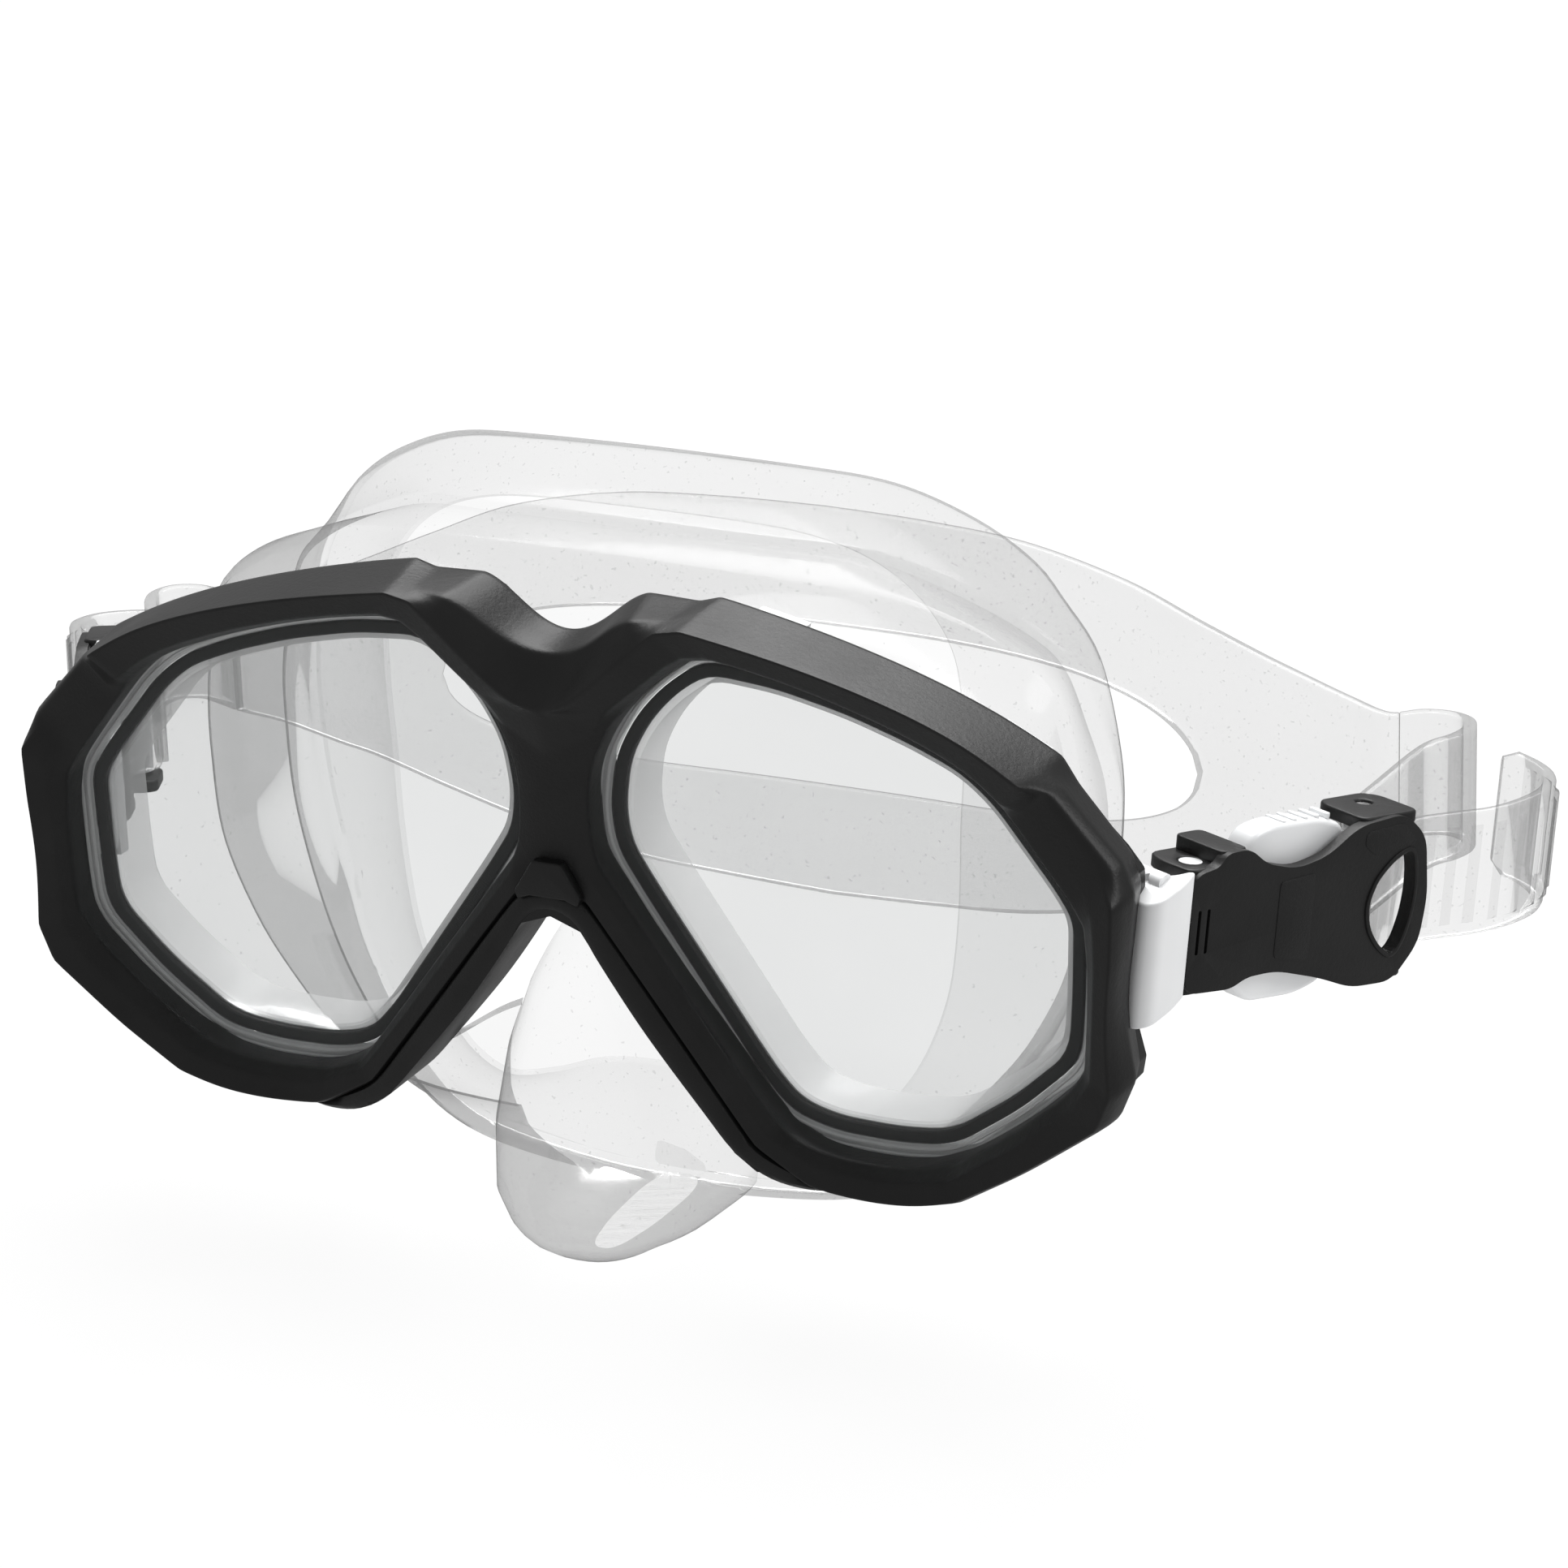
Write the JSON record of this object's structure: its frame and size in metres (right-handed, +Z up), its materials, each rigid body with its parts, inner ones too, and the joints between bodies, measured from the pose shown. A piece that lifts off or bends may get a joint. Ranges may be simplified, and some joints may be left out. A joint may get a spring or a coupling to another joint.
{
  "type": "diving mask",
  "caption": "Diving mask with two glass lenses in a black frame, clear skirt with nose pocket, swivelling buckles with release levers, and a split clear strap.",
  "frame": {"origin": "middle of the face seal, on the mask's middle plane", "axes": "+Y from the lenses back towards the head, along the face seal's axis; +Z up; +X to the wearer's left"},
  "size_m": [0.2292, 0.091, 0.1036],
  "materials": {
    "black_plastic": "satin, fine grain on the notch pads and bridge",
    "white_plastic": "glossy",
    "clear_silicone": "clear, satin to glossy",
    "lens_glass": "clear tempered glass",
    "steel": "bright"
  },
  "bodies": {
    "mask": {"front_frame": "black_plastic", "back_frame": "black_plastic", "bridge_clip": "black_plastic", "frame_latches": "white_plastic", "lens_right": "lens_glass", "lens_left": "lens_glass", "lens_ring_right": "black_plastic", "lens_ring_left": "black_plastic", "skirt": "clear_silicone", "strap": "clear_silicone", "buckle_bracket_right": "white_plastic", "buckle_bracket_left": "white_plastic"},
    "buckle_right": {"buckle_body_right": "black_plastic", "swivel_pin_right": "white_plastic", "lever_pin_right": "steel", "lever_spring_right": "steel", "roller_axle_right": "steel"},
    "lever_right": {"release_lever_right": "white_plastic"},
    "roller_right": {"strap_roller_right": "white_plastic"},
    "buckle_left": {"buckle_body_left": "black_plastic", "swivel_pin_left": "white_plastic", "lever_pin_left": "steel", "lever_spring_left": "steel", "roller_axle_left": "steel"},
    "lever_left": {"release_lever_left": "white_plastic"},
    "roller_left": {"strap_roller_left": "white_plastic"}
  },
  "joints": [
    {"name": "buckle_swivel_right", "type": "hinge", "parent": "mask", "child": "buckle_right", "pos_m": [0.0825, -0.03, 0.001], "axis": [0.0588, 0.1261, 0.9903], "range_deg": [-20, 20], "deforming": ["strap"]},
    {"name": "lever_press_right", "type": "hinge", "parent": "buckle_right", "child": "lever_right", "pos_m": [0.08394, -0.02455, 0.00022], "axis": [0.0588, 0.1261, 0.9903], "range_deg": [0, 7], "stiffness_Nm_per_rad": 0.05, "springref_deg": -6.88},
    {"name": "roller_spin_right", "type": "hinge", "parent": "buckle_right", "child": "roller_right", "pos_m": [0.09439, 0.00095, -0.00365], "axis": [0.0588, 0.1261, 0.9903], "continuous": true},
    {"name": "buckle_swivel_left", "type": "hinge", "parent": "mask", "child": "buckle_left", "pos_m": [-0.0825, -0.03, 0.001], "axis": [-0.0588, 0.1261, 0.9903], "range_deg": [-20, 20], "deforming": ["strap"]},
    {"name": "lever_press_left", "type": "hinge", "parent": "buckle_left", "child": "lever_left", "pos_m": [-0.08394, -0.02455, 0.00022], "axis": [-0.0588, 0.1261, 0.9903], "range_deg": [-7, 0], "stiffness_Nm_per_rad": 0.05, "springref_deg": 6.88},
    {"name": "roller_spin_left", "type": "hinge", "parent": "buckle_left", "child": "roller_left", "pos_m": [-0.09439, 0.00095, -0.00365], "axis": [-0.0588, 0.1261, 0.9903], "continuous": true}
  ]
}
